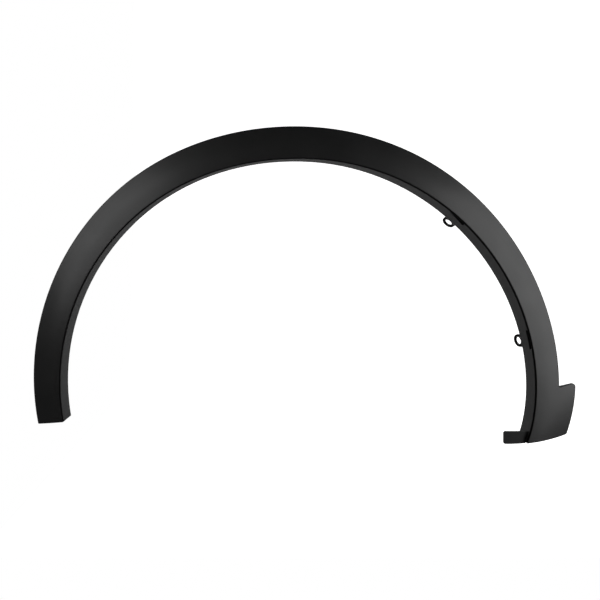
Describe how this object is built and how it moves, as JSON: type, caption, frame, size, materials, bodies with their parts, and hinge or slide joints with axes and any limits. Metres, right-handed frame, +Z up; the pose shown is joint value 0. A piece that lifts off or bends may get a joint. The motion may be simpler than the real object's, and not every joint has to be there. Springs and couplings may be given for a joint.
{
  "type": "wheel arch trim",
  "caption": "Black moulded wheel arch trim: a crowned band round the wheel opening, with an inward lip, screw eyes and a wider foot with a ledge at one end.",
  "frame": {"origin": "the wheel axis, in the plane where the rim lies on the body panel", "axes": "+X along the car towards the foot, +Y into the car body, +Z up"},
  "size_m": [0.946, 0.0714, 0.5548],
  "materials": {
    "arch_plastic": "black, fine satin grain"
  },
  "bodies": {
    "root": {"arch_moulding": "arch_plastic"}
  },
  "joints": []
}
